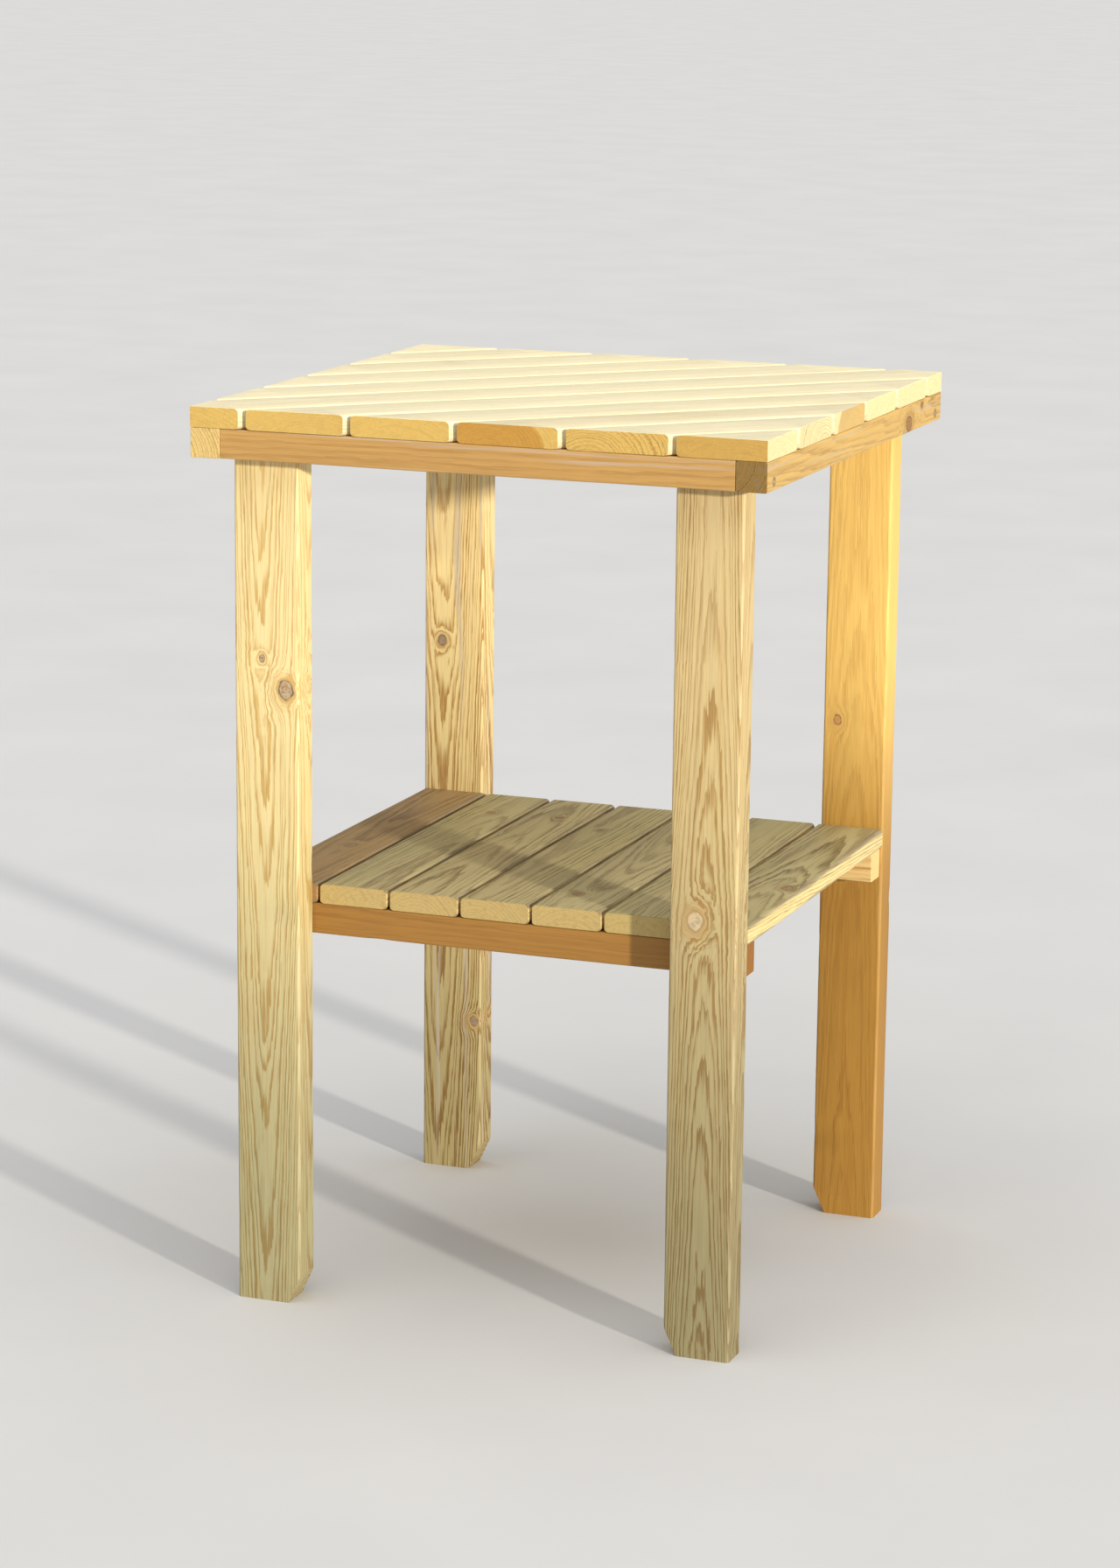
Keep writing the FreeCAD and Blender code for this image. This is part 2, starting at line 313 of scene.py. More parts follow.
late = calc(tree, "MULTIPLY", late, smooth(tree, feather, 0.32, 0.62, 0.62, 1.05))
close_tree(tree, result, Latewood=late, Heartwood=heart)

# Fibres: fine streaks along the stick, with broader bands of paler and darker wood between them
fibre_group, given, result = new_tree(
    "fibres", "ShaderNodeTree",
    {"Place": ("Vector", None), "Seed": ("Float", 0.0)},
    {"Fine": ("Float", None), "Broad": ("Float", None), "Cloud": ("Float", None)})
tree = fibre_group
fibre_stretches = {"Fine": (1100.0, 1100.0, 22.0), "Broad": (160.0, 160.0, 3.5),
                   "Cloud": (16.0, 16.0, 4.0)}
streaks = {label: noise(tree, streaked(tree, given["Place"], stretch, given["Seed"]), 2.0)
           for label, stretch in fibre_stretches.items()}
close_tree(tree, result, **streaks)

# Arris: 1 along the long edges of a stick, fading into its faces; the arris tint there is wear and
# painted light
arris_group, given, result = new_tree(
    "arris", "ShaderNodeTree",
    {"Place": ("Vector", None), "Width": ("Float", 0.07), "Thickness": ("Float", 0.036),
     "Radius": ("Float", 0.003)},
    {"Arris": ("Float", None)})
tree = arris_group
parts = add(tree, "ShaderNodeSeparateXYZ", {0: given["Place"]}).outputs
inside_x, inside_y = (calc(tree, "MULTIPLY_ADD", given[label], 0.5,
                           calc(tree, "MULTIPLY", calc(tree, "ABSOLUTE", part), -1.0))
                      for label, part in (("Width", parts[0]), ("Thickness", parts[1])))
depth = calc(tree, "DIVIDE", calc(tree, "ADD", inside_x, inside_y), given["Radius"])
ragged_edge = noise(tree, vector_calc(tree, "MULTIPLY", given["Place"], (60.0, 60.0, 7.0)), 3.0)
depth = calc(tree, "ADD", depth, smooth(tree, ragged_edge, 0.3, 0.7, -0.4, 0.5))
close_tree(tree, result, Arris=smooth(tree, depth, 0.5, 1.4, 1.0, 0.0))


def blend(tree, factor, a, b, mode="MIX"):
    """Colour b laid over colour a."""
    node = add(tree, "ShaderNodeMix", {0: factor, 6: a, 7: b}, data_type="RGBA", blend_type=mode)
    return node.outputs[2]


# Treated pine: the finish that every stick takes, from the effects above
pine_group, given, result = new_tree(
    "treated pine", "ShaderNodeTree",
    {"Place": ("Vector", None), "Spot": ("Vector", None), "Facing": ("Vector", None),
     "Reach": ("Float", no_knot), "Latewood": ("Float", 0.0), "Heartwood": ("Float", 0.0),
     "Arris": ("Float", 0.0), "Sapwood": ("Color", None), "Sapwood Late": ("Color", None),
     "Heart": ("Color", None), "Heart Late": ("Color", None), "Treatment": ("Float", 0.3),
     "Contrast": ("Float", 1.0), "End Contrast": ("Float", 1.0), "Foot Damp": ("Float", 0.0),
     "Foot Tone": ("Color", None), "Damp Low": ("Float", 0.05), "Damp High": ("Float", 0.75),
     "Bleaching": ("Float", 0.0), "Blue Stain": ("Float", 0.0), "WeatheringAndPaintedShade": ("Float", 0.0),
     "ArrisWearAndPaintedLight": ("Float", 0.1), "ArrisWearAndPaintedLight Tone": ("Color", None), "Sawn End": ("Color", None),
     "Far End": ("Color", None), "Knot Core": ("Color", None), "Knot Heart": ("Color", None),
     "Knot Rim": ("Color", None), "Seed": ("Float", 0.0)},
    {"Colour": ("Color", None), "Roughness": ("Float", None), "Height": ("Float", None)})
tree = pine_group
treatment_tint = (0.90, 0.93, 0.82, 1)
# The weathered tint is partly weathering grey and partly painted blue shade
weathered_and_painted_shade_tint = (0.66, 0.74, 0.84, 1)
bleached_tone = (0.96, 0.86, 0.58, 1)
blue_stain_tone = (0.47, 0.46, 0.43, 1)
fibres = tree.nodes.new("ShaderNodeGroup")
fibres.node_tree = fibre_group
for label in ("Place", "Seed"):
    tree.links.new(given[label], fibres.inputs[label])
fine, broad, cloud = (fibres.outputs[label] for label in ("Fine", "Broad", "Cloud"))
reach = given["Reach"]

# The wood: early and late wood of sapwood or heartwood, with dark flames between the rings
facing = add(tree, "ShaderNodeSeparateXYZ", {0: given["Facing"]}).outputs
parts = add(tree, "ShaderNodeSeparateXYZ", {0: given["Place"]}).outputs
sawn_end = smooth(tree, calc(tree, "ABSOLUTE", facing[2]), 0.3, 0.6)
# Painted shade: a leg darkens and cools towards its foot between the low and high heights, its grain a
# little stronger there
painted_foot_shade = smooth(tree, parts[2], given["Damp Low"], given["Damp High"], 1.0, 0.0)
painted_foot_shade = calc(tree, "MULTIPLY", given["Foot Damp"], painted_foot_shade)
dark_part = calc(tree, "MULTIPLY", given["Latewood"], given["Contrast"])
end_contrast = smooth(tree, sawn_end, 0.0, 1.0, 1.0, given["End Contrast"])
dark_part = calc(tree, "MULTIPLY", dark_part, end_contrast)
dark_part = calc(tree, "MULTIPLY", dark_part, calc(tree, "MULTIPLY_ADD", painted_foot_shade, 0.45, 1.0))
dark_part = calc(tree, "MAXIMUM", dark_part, smooth(tree, broad, 0.5, 0.7, 0.0, 0.3))
sap = blend(tree, dark_part, given["Sapwood"], given["Sapwood Late"])
hearty = blend(tree, dark_part, given["Heart"], given["Heart Late"])
wood = blend(tree, given["Heartwood"], sap, hearty)

# The green of the treatment, painted shade over a leg's lower part, weathering and painted blue shade on
# an upper face, and blue stain
treated = calc(tree, "MULTIPLY", given["Treatment"], smooth(tree, cloud, 0.3, 0.75, 0.25, 1.0))
wood = blend(tree, treated, wood, treatment_tint, "MULTIPLY")
wood = blend(tree, painted_foot_shade, wood, given["Foot Tone"], "MULTIPLY")
# Upper faces: weathering grey together with painted blue shade
sky_side = smooth(tree, calc(tree, "MULTIPLY", facing[1], -1.0), -0.1, 0.5)
weathered_and_painted_shade = calc(tree, "MULTIPLY", given["WeatheringAndPaintedShade"], sky_side)
wood = blend(tree, weathered_and_painted_shade, wood, weathered_and_painted_shade_tint, "MULTIPLY")
bleached = calc(tree, "MULTIPLY", given["Bleaching"], smooth(tree, cloud, 0.25, 0.75, 1.15, 0.85))
wood = blend(tree, calc(tree, "MULTIPLY", bleached, sky_side), wood, bleached_tone)
stained = calc(tree, "MULTIPLY", smooth(tree, broad, 0.56, 0.72), given["Blue Stain"])
wood = blend(tree, stained, wood, blue_stain_tone)
tone = calc(tree, "ADD", smooth(tree, fine, 0.25, 0.75, -0.07, 0.06),
            smooth(tree, broad, 0.3, 0.7, -0.05, 0.05))
tone = calc(tree, "ADD", tone, smooth(tree, cloud, 0.3, 0.7, 0.97, 1.03))
wood = scaled(tree, wood, tone)

# A knot: a darker halo with ripples, rings in the knot itself and a broken ring of bark
halo = smooth(tree, reach, 1.0, 2.4, 0.30, 0.0)
wood = blend(tree, halo, wood, blend(tree, 0.5, given["Sapwood Late"], given["Heart Late"]))
ripple = calc(tree, "MULTIPLY_ADD", reach, 2.3, calc(tree, "MULTIPLY", broad, 1.6))
ripple = smooth(tree, calc(tree, "FRACT", ripple), 0.45, 0.95)
ripple = calc(tree, "MULTIPLY", ripple, smooth(tree, reach, 1.2, 2.9, 0.5, 0.0))
wood = blend(tree, ripple, wood, given["Sapwood Late"])
knot_ring = calc(tree, "FRACT", calc(tree, "ADD", calc(tree, "MULTIPLY", reach, 3.6), broad))
knot_ring = smooth(tree, knot_ring, 0.2, 0.9, 0.0, 0.35)
knot_wood = blend(tree, knot_ring, given["Knot Core"], given["Knot Rim"])
speck = noise(tree, given["Spot"], 3.0, 240.0)
knot_heart = smooth(tree, reach, 0.3, 0.95, 1.0, 0.25)
knot_heart = calc(tree, "MULTIPLY", smooth(tree, speck, 0.42, 0.6), knot_heart)
knot_wood = blend(tree, knot_heart, knot_wood, given["Knot Heart"])
wood = blend(tree, smooth(tree, reach, 0.85, 1.0, 0.92, 0.0), wood, knot_wood)
bark = calc(tree, "MULTIPLY", smooth(tree, reach, 0.74, 0.92), smooth(tree, reach, 0.96, 1.18, 1.0, 0.0))
broken_bark = calc(tree, "MULTIPLY", bark, smooth(tree, speck, 0.36, 0.58, 0.25, 1.0))
wood = blend(tree, broken_bark, wood, given["Knot Rim"])

# Arris tint, partly wear and partly painted highlight and shade, and sawn ends, then the roughness and
# the height of the grain
arris_wear_and_painted_light = calc(tree, "MULTIPLY", given["Arris"], given["ArrisWearAndPaintedLight"])
wood = blend(tree, arris_wear_and_painted_light, wood, given["ArrisWearAndPaintedLight Tone"])
far_end = calc(tree, "GREATER_THAN", facing[2], 0.0)
end_tone = blend(tree, far_end, given["Sawn End"], given["Far End"])
wood = blend(tree, sawn_end, wood, end_tone, "MULTIPLY")
rough = calc(tree, "ADD", smooth(tree, fine, 0.2, 0.8, 0.5, 0.68),
             calc(tree, "MULTIPLY", sawn_end, 0.18))
rough = calc(tree, "ADD", rough, calc(tree, "MULTIPLY", given["Latewood"], -0.08))
height = calc(tree, "ADD", calc(tree, "MULTIPLY", given["Latewood"], 0.5),
              calc(tree, "MULTIPLY", fine, 0.55))
height = calc(tree, "ADD", height, calc(tree, "MULTIPLY", bark, -0.6))
close_tree(tree, result, Colour=wood, Roughness=rough, Height=height)

# Rub tone: arris tint, pale painted highlight with some wear. Foot tone: painted shade on a leg's foot.
pine_colours = {"Sapwood": (0.86, 0.69, 0.35, 1), "Sapwood_Late": (0.62, 0.39, 0.13, 1),
                "Heart": (0.74, 0.47, 0.16, 1), "Heart_Late": (0.50, 0.25, 0.06, 1),
                "Knot_Core": (0.66, 0.50, 0.30, 1), "Knot_Heart": (0.55, 0.27, 0.12, 1),
                "Knot_Rim": (0.20, 0.15, 0.10, 1), "Sawn_End": (0.86, 0.76, 0.62, 1),
                "Far_End": (0.86, 0.76, 0.62, 1), "Foot_Tone": (0.45, 0.50, 0.54, 1),
                "ArrisWearAndPaintedLight_Tone": (0.93, 0.82, 0.58, 1)}


def pine(name, place, turn, width, thickness, radius, seed, colours, knots=(), **grain):
    """The material of one stick. Place and turn are the stick's own, so its grain follows it.

    A knot is its place across and along the stick, its radius and its tilt.
    """
    material = bpy.data.materials.new(name)
    material.use_nodes = True
    tree = material.node_tree
    tree.nodes.clear()
    spot = add(tree, "ShaderNodeTexCoord").outputs["Object"]
    spot = add(tree, "ShaderNodeMapping", {"Vector": spot, "Location": place, "Rotation": turn},
               vector_type="TEXTURE").outputs[0]
    facing = add(tree, "ShaderNodeNewGeometry").outputs["Normal"]
    facing = add(tree, "ShaderNodeMapping", {"Vector": facing, "Rotation": turn},
                 vector_type="TEXTURE").outputs[0]

    def group(kind, **takes):
        node = tree.nodes.new("ShaderNodeGroup")
        node.node_tree = kind
        for label, value in takes.items():
            socket = node.inputs[label.replace("_", " ")]
            if isinstance(value, bpy.types.NodeSocket):
                tree.links.new(value, socket)
            else:
                socket.default_value = value
        return node.outputs

    arris = group(arris_group, Place=spot, Width=width, Thickness=thickness, Radius=radius)[0]
    flow, reach = spot, no_knot
    for across, along, size, tilt in knots:
        flow, reach = group(knot_group, Place=flow, Reach=reach, Across=across, Along=along,
                            Radius=size, Tilt=tilt)
    ring_words = ("Pith_Across", "Pith_Depth", "Ring_Width", "Taper", "Wander", "Knot_Swell",
                  "Heart_Radius")
    rings = group(ring_group, Place=flow, Reach=reach, Seed=seed,
                  **{word: grain.pop(word) for word in ring_words if word in grain})
    wood = group(pine_group, Place=flow, Spot=spot, Facing=facing, Reach=reach, Latewood=rings[0],
                 Heartwood=rings[1], Arris=arris, Seed=seed, **colours, **grain)
    bump = add(tree, "ShaderNodeBump", {"Height": wood["Height"], "Strength": 0.6, "Distance": 0.0005})
    surface = add(tree, "ShaderNodeBsdfPrincipled",
                  {"Base Color": wood["Colour"], "Roughness": wood["Roughness"],
                   "Specular IOR Level": 0.35, "Normal": bump.outputs[0]})
    add(tree, "ShaderNodeOutputMaterial", {"Surface": surface.outputs[0]})
    return material


def shape(name, mesh, tree, values):
    """A new piece with the plain mesh that a tree makes from the values of its inputs."""
    piece = bpy.data.objects.new(name, mesh)
    bpy.context.scene.collection.objects.link(piece)
    modifier = piece.modifiers.new("shape", "NODES")
    modifier.node_group = tree
    for item in tree.interface.items_tree:
        label = item.name.replace(" ", "_")
        if item.in_out == "INPUT" and label in values:
            modifier[item.identifier] = values[label]
    bpy.context.view_layer.update()
    shaped = piece.evaluated_get(bpy.context.evaluated_depsgraph_get())
    plain = bpy.data.meshes.new_from_object(shaped)
    piece.modifiers.remove(modifier)
    piece.data = plain
    return piece


sawn_edge_radius = 0.0007


def make_wood(node, slot, tree, place, turn, material, seed, **sizes):
    """One CAD node's wood: a tree's mesh with its sawn edges softened."""
    values = sizes | {"Place": place, "Turn": turn, "Material": material, "Seed": seed}
    piece = shape(node + "_wood", bpy.data.meshes.new(node + "_wood"), tree, values)
    piece.data.name = piece.name
    softened = piece.modifiers.new("sawn edges", "BEVEL")
    softened.width = sawn_edge_radius
    softened.segments = 2
    softened.angle_limit = math.radians(50)
    softened.harden_normals = True
    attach(piece, "root")
    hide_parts(node)


leg_arris = 0.003
cream_colours = pine_colours | {"Knot_Core": (0.50, 0.41, 0.28, 1),
                                "Knot_Heart": (0.34, 0.16, 0.06, 1),
                                "Knot_Rim": (0.14, 0.12, 0.09, 1)}
olive_colours = pine_colours | {"Sapwood": (0.66, 0.50, 0.25, 1), "Sapwood_Late": (0.42, 0.25, 0.085, 1),
                                "Knot_Core": (0.66, 0.50, 0.28, 1), "Knot_Heart": (0.40, 0.34, 0.24, 1),
                                "Knot_Rim": (0.38, 0.26, 0.13, 1)}
strong_colours = pine_colours | {"Sapwood": (0.88, 0.68, 0.33, 1), "Sapwood_Late": (0.46, 0.24, 0.06, 1),
                                 "Knot_Core": (0.34, 0.24, 0.15, 1), "Knot_Heart": (0.22, 0.14, 0.08, 1),
                                 "Foot_Tone": (0.40, 0.42, 0.39, 1)}
amber_colours = pine_colours | {"Heart": (0.88, 0.57, 0.165, 1), "Heart_Late": (0.54, 0.27, 0.055, 1),
                                "Knot_Core": (0.55, 0.30, 0.11, 1), "Knot_Rim": (0.28, 0.13, 0.05, 1),
                                "Foot_Tone": (0.43, 0.34, 0.19, 1), "ArrisWearAndPaintedLight_Tone": (0.95, 0.72, 0.34, 1)}
# Each leg's painted foot shade: how strong it is, and the heights between which it fades out
leg_looks = {
    "front_left": dict(Pith_Across=-0.003, Pith_Depth=0.012, Ring_Width=0.0020, Taper=0.020,
                       Wander=0.010, Foot_Damp=1.0, Damp_Low=0.08, Damp_High=0.71,
                       Treatment=0.4, Contrast=1.25, colours=cream_colours,
                       knots=[(-0.005, 0.679, 0.0032, 0.2), (0.0205, 0.647, 0.0080, 0.1)]),
    "front_right": dict(Pith_Across=0.004, Pith_Depth=0.010, Ring_Width=0.0020, Taper=-0.018,
                        Wander=0.010, Foot_Damp=1.0, Treatment=0.7, Contrast=1.35, Knot_Swell=0.007,
                        colours=olive_colours,
                        knots=[(-0.0085, 0.451, 0.0085, 0.1)]),
    "rear_left": dict(Pith_Across=-0.014, Pith_Depth=0.014, Ring_Width=0.0024, Taper=0.028,
                      Wander=0.012, Foot_Damp=0.9, Blue_Stain=0.5, Contrast=1.4, colours=strong_colours,
                      knots=[(-0.014, 0.613, 0.0050, 0.2), (0.0265, 0.178, 0.0050, 0.2)]),
    "rear_right": dict(Pith_Across=0.002, Pith_Depth=0.035, Ring_Width=0.0024, Taper=-0.022,
                       Wander=0.012, Heart_Radius=0.2, Treatment=0.0, Contrast=0.45, Foot_Damp=1.0,
                       Damp_Low=0.35, Damp_High=0.65,
                       colours=amber_colours, knots=[(-0.0195, 0.560, 0.0045, 0.2)]),
}
for count, (corner, look) in enumerate(leg_looks.items()):
    low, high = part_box(corner + "_leg")
    span = high - low
    start = Vector(((low.x + high.x) / 2, (low.y + high.y) / 2, low.z))
    seed = 3.7 + 11.3 * count
    inner_side = 1.0 if start.x < 0 else -1.0
    material = pine(corner + "_leg", start, (0, 0, 0), span.x, span.y, leg_arris, seed, **look)
    make_wood(corner + "_leg", "legs", leg_tree, start, (0, 0, 0), material, seed,
              Width=span.x, Thickness=span.y, Length=span.z, Arris_Radius=leg_arris,
              Inner_Side=inner_side)


# ---------------------------------------------------------------- top frame
# Four square-edged rails of the same pine, laid under the top. The side rails run the whole
# depth, so that their end grain shows at the front, and the front and rear rails butt between.
rail_arris = 0.002
along_x_turn = (0, math.radians(90), 0)
along_y_turn = (math.radians(-90), math.radians(90), 0)
rail_colours = pine_colours | {"Sapwood": (0.72, 0.50, 0.21, 1), "Sapwood_Late": (0.45, 0.25, 0.08, 1),
                               "Heart": (0.53, 0.30, 0.095, 1), "Heart_Late": (0.32, 0.16, 0.045, 1)}
pale_rail_colours = pine_colours | {"Sapwood": (0.80, 0.57, 0.25, 1),
                                    "Sapwood_Late": (0.50, 0.28, 0.09, 1),
                                    "Sawn_End": (0.91, 0.92, 0.82, 1)}
dark_rail_colours = rail_colours | {"Heart": (0.34, 0.165, 0.034, 1), "Heart_Late": (0.20, 0.09, 0.02, 1),
                                    "ArrisWearAndPaintedLight_Tone": (0.42, 0.25, 0.08, 1)}
golden_rail_colours = rail_colours | {"Sapwood": (0.61, 0.39, 0.125, 1),
                                      "Sapwood_Late": (0.28, 0.15, 0.045, 1),
                                      "Knot_Core": (0.34, 0.17, 0.05, 1),
                                      "Knot_Heart": (0.24, 0.11, 0.03, 1),
                                      "Knot_Rim": (0.18, 0.09, 0.03, 1),
                                      "Sawn_End": (0.44, 0.40, 0.32, 1)}
frame_looks = {
    "front_top_rail": dict(colours=rail_colours, Pith_Across=0.030, Pith_Depth=0.080, Ring_Width=0.0018,
                           Heart_Radius=0.3, Contrast=0.45, Wander=0.004, Taper=0.004,
                           Blue_Stain=0.35),
    "rear_top_rail": dict(colours=rail_colours, Pith_Across=-0.008, Pith_Depth=0.045, Ring_Width=0.003,
                          Heart_Radius=0.045, Contrast=0.8, Wander=0.008),
    "left_top_rail": dict(colours=pale_rail_colours, Pith_Across=0.02, Pith_Depth=0.050, Ring_Width=0.003,
                          Wander=0.008, knots=[(0.004, 0.21, 0.005, 0.2)]),
    "right_top_rail": dict(colours=golden_rail_colours, Pith_Across=-0.012, Pith_Depth=0.030,
                           Ring_Width=0.0026, Wander=0.010, Knot_Swell=0.014, Contrast=0.75,
                           Blue_Stain=0.4,
                           knots=[(0.006, 0.483, 0.0080, 0.2), (-0.008, 0.530, 0.0035, 0.2)]),
}


stick_tree, given, result = new_tree("stick", "GeometryNodeTree", stick_sizes | placing,
                                     {"Mesh": ("Geometry", None)})
finish_tree(stick_tree, result, laid(stick_tree, stick_node(stick_tree, given), given), given)


def stick_between(node, slot, turn, arris, seed, **look):
    """A plain stick that fills a CAD node's box, running along X, or along Y on edge or flat."""
    low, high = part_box(node)
    span = high - low
    start = (low + high) / 2
    if turn == along_x_turn:
        start.x, length, width, thickness = low.x, span.x, span.z, span.y
    elif turn == along_y_turn:
        start.y, length, width, thickness = low.y, span.y, span.z, span.x
    else:
        start.y, length, width, thickness = low.y, span.y, span.x, span.z
    material = pine(node, start, turn, width, thickness, arris, seed, **look)
    make_wood(node, slot, stick_tree, start, turn, material, seed,
              Width=width, Thickness=thickness, Length=length, Arris_Radius=arris)


for count, (node, look) in enumerate(frame_looks.items()):
    turn = along_x_turn if node in ("front_top_rail", "rear_top_rail") else along_y_turn
    stick_between(node, "top_frame", turn, rail_arris, 61.0 + 7.9 * count, **look)


# ---------------------------------------------------------------- shelf rails
# Two rails of the frame's stock, set on edge behind the front legs and before the rear legs,
# and screwed through into them.
shelf_rail_looks = {
    "front_shelf_rail": dict(colours=dark_rail_colours, Pith_Across=-0.024, Pith_Depth=0.060,
                             Ring_Width=0.0019, Heart_Radius=0.3, Contrast=0.45, Wander=0.006,
                             Taper=0.006, Treatment=0.0),
    "rear_shelf_rail": dict(colours=pale_rail_colours | {"Far_End": (1.0, 1.0, 1.0, 1)},
                            Pith_Across=0.012, Pith_Depth=0.060, Ring_Width=0.002, Wander=0.005,
                            Taper=0.006, End_Contrast=0.4),
}
for count, (node, look) in enumerate(shelf_rail_looks.items()):
    stick_between(node, "shelf_rails", along_x_turn, rail_arris, 97.0 + 7.9 * count, **look)


# ---------------------------------------------------------------- shelf boards
# Seven planed boards with well rounded arrises, running front to back over the shelf rails.
# They are the same treated pine, grey and olive on their upper faces from weathering and painted blue
# shade, with painted shade on their arrises.
board_arris = 0.004
flat_along_y_turn = (math.radians(-90), 0, 0)
# Dark rub tone: painted shade along the boards' arrises, beside the gaps
shelf_colours = pine_colours | {"Sapwood": (0.86, 0.65, 0.31, 1), "Sapwood_Late": (0.37, 0.245, 0.10, 1),
                                "Heart": (0.62, 0.37, 0.15, 1), "Heart_Late": (0.30, 0.17, 0.06, 1),
                                "Sawn_End": (0.63, 0.59, 0.50, 1), "Far_End": (0.63, 0.59, 0.50, 1),
                                "Knot_Core": (0.40, 0.27, 0.14, 1), "Knot_Heart": (0.30, 0.18, 0.09, 1),
                                "Knot_Rim": (0.22, 0.15, 0.08, 1), "ArrisWearAndPaintedLight_Tone": (0.24, 0.19, 0.12, 1)}
shelf_board_count = 7
choose = random.Random(17)
for count in range(1, shelf_board_count + 1):
    look = dict(Pith_Across=choose.uniform(-0.022, 0.022), Pith_Depth=choose.uniform(0.026, 0.05),
                Ring_Width=choose.uniform(0.0026, 0.004), Wander=choose.uniform(0.014, 0.024),
                Taper=choose.choice((-1, 1)) * choose.uniform(0.015, 0.035),
                Contrast=choose.uniform(0.85, 1.15), Treatment=choose.uniform(0.4, 1.0),
                WeatheringAndPaintedShade=choose.uniform(0.8, 1.0), ArrisWearAndPaintedLight=0.7, End_Contrast=0.3)
    if count == 1:
        look |= dict(Heart_Radius=0.2, Treatment=0.2)
    if choose.random() < 0.6:
        look["knots"] = [(choose.uniform(-0.025, 0.025), choose.uniform(0.06, 0.42),
                          choose.uniform(0.003, 0.006), 0.3)]
    stick_between(f"shelf_board_{count}", "shelf_boards", flat_along_y_turn, board_arris,
                  131.0 + 5.3 * count, colours=shelf_colours, **look)


# ---------------------------------------------------------------- top boards
# Eleven boards of the shelf's stock laid on the diagonal, the middle one from the front left
# corner to the rear right one, screwed up from below and sawn flush with the frame all round.
top_low, top_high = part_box("top_board_01")
top_low = Vector((cad_box[0][0], cad_box[0][1], top_low.z))
top_high = Vector((cad_box[1][0], cad_box[1][1], top_high.z))
top_size = top_high - top_low
top_middle = (top_low + top_high) / 2
diagonal = math.hypot(top_size.x, top_size.y)
heading = math.atan2(top_size.y, top_size.x)
run = Vector((math.cos(heading), math.sin(heading), 0))
sideways = Vector((math.sin(heading), -math.cos(heading), 0))
top_turn = (math.radians(-90), 0, heading - math.radians(90))
board_low, board_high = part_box("shelf_board_1")
board_width = board_high.x - board_low.x
board_pitch = (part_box("top_board_11")[0].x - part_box("top_board_10")[0].x) * sideways.x

top_tree, given, result = new_tree(
    "top board", "GeometryNodeTree",
    stick_sizes | {"Top Middle": ("Vector", None), "Top Size": ("Vector", None)} | placing,
    {"Mesh": ("Geometry", None)})
tree = top_tree
tall = vector_calc(tree, "ADD", given["Top Size"], (0, 0, 0.05))
cut = add(tree, "GeometryNodeMeshCube", {"Size": tall}).outputs[0]
cut = add(tree, "GeometryNodeTransform",
          {"Geometry": cut, "Translation": given["Top Middle"]}).outputs[0]
sawn = add(tree, "GeometryNodeMeshBoolean", operation="INTERSECT", solver="EXACT")
for part in (laid(tree, stick_node(tree, given), given), cut):
    tree.links.new(part, sawn.inputs["Mesh 2"])
finish_tree(tree, result, sawn.outputs[0], given)

# A rub tone darker than the wood: painted shade that dulls the lit arrises
top_colours = pine_colours | {"Sapwood": (0.76, 0.64, 0.39, 1), "Sapwood_Late": (0.60, 0.44, 0.21, 1),
                              "Heart": (0.58, 0.38, 0.145, 1), "Heart_Late": (0.42, 0.23, 0.07, 1),
                              "Sawn_End": (0.85, 0.66, 0.30, 1), "Far_End": (1.0, 1.0, 0.9, 1),
                              "ArrisWearAndPaintedLight_Tone": (0.60, 0.49, 0.30, 1)}
own_looks = {9: dict(Pith_Across=-0.015, Pith_Depth=0.014, Heart_Radius=0.041, Taper=0.002,
                     End_Contrast=0.5),
             10: dict(Pith_Across=-0.020, Pith_Depth=0.020, Taper=0.004, End_Contrast=1.3,
                      Ring_Width=0.0034)}
own_colours = {10: {"Sapwood_Late": (0.34, 0.20, 0.075, 1)}, 11: {"Sawn_End": (0.72, 0.52, 0.21, 1)}}
middle_board, board_count = 6, 11
choose = random.Random(29)
for count in range(1, board_count + 1):
    start = top_middle + sideways * ((count - middle_board) * board_pitch) - run * diagonal
    seed = 211.0 + 6.1 * count
    look = dict(Pith_Across=choose.uniform(-0.022, 0.022), Pith_Depth=choose.uniform(0.028, 0.06),
                Ring_Width=choose.uniform(0.0026, 0.0042), Wander=choose.uniform(0.008, 0.018),
                Taper=choose.choice((-1, 1)) * choose.uniform(0.008, 0.02),
                Contrast=choose.uniform(0.6, 1.0), Treatment=choose.uniform(0.1, 0.4), ArrisWearAndPaintedLight=0.4,
                Bleaching=0.8, End_Contrast=0.3)
    look |= own_looks.get(count, {})
    node = f"top_board_{count:02d}"
    material = pine(node, start, top_turn, board_width, top_size.z, board_arris, seed,
                    colours=top_colours | own_colours.get(count, {}), **look)
    make_wood(node, "top_boards", top_tree, start, top_turn, material, seed,
              Width=board_width, Thickness=top_size.z, Length=2 * diagonal, Arris_Radius=board_arris,
              Top_Middle=top_middle, Top_Size=top_size)


# ---------------------------------------------------------------- screws
# Countersunk wood screws with a cross recess, plated with yellow zinc and driven flush: from
# below into the boards, from inside into the frame and the legs, and from the sides at the
# frame's corners. Each CAD group of like screws becomes one piece.
def off_axis(offset, axis):
    """How far an offset leads away from a line along one axis."""
    return math.hypot(*(offset[i] for i in range(3) if i != axis))


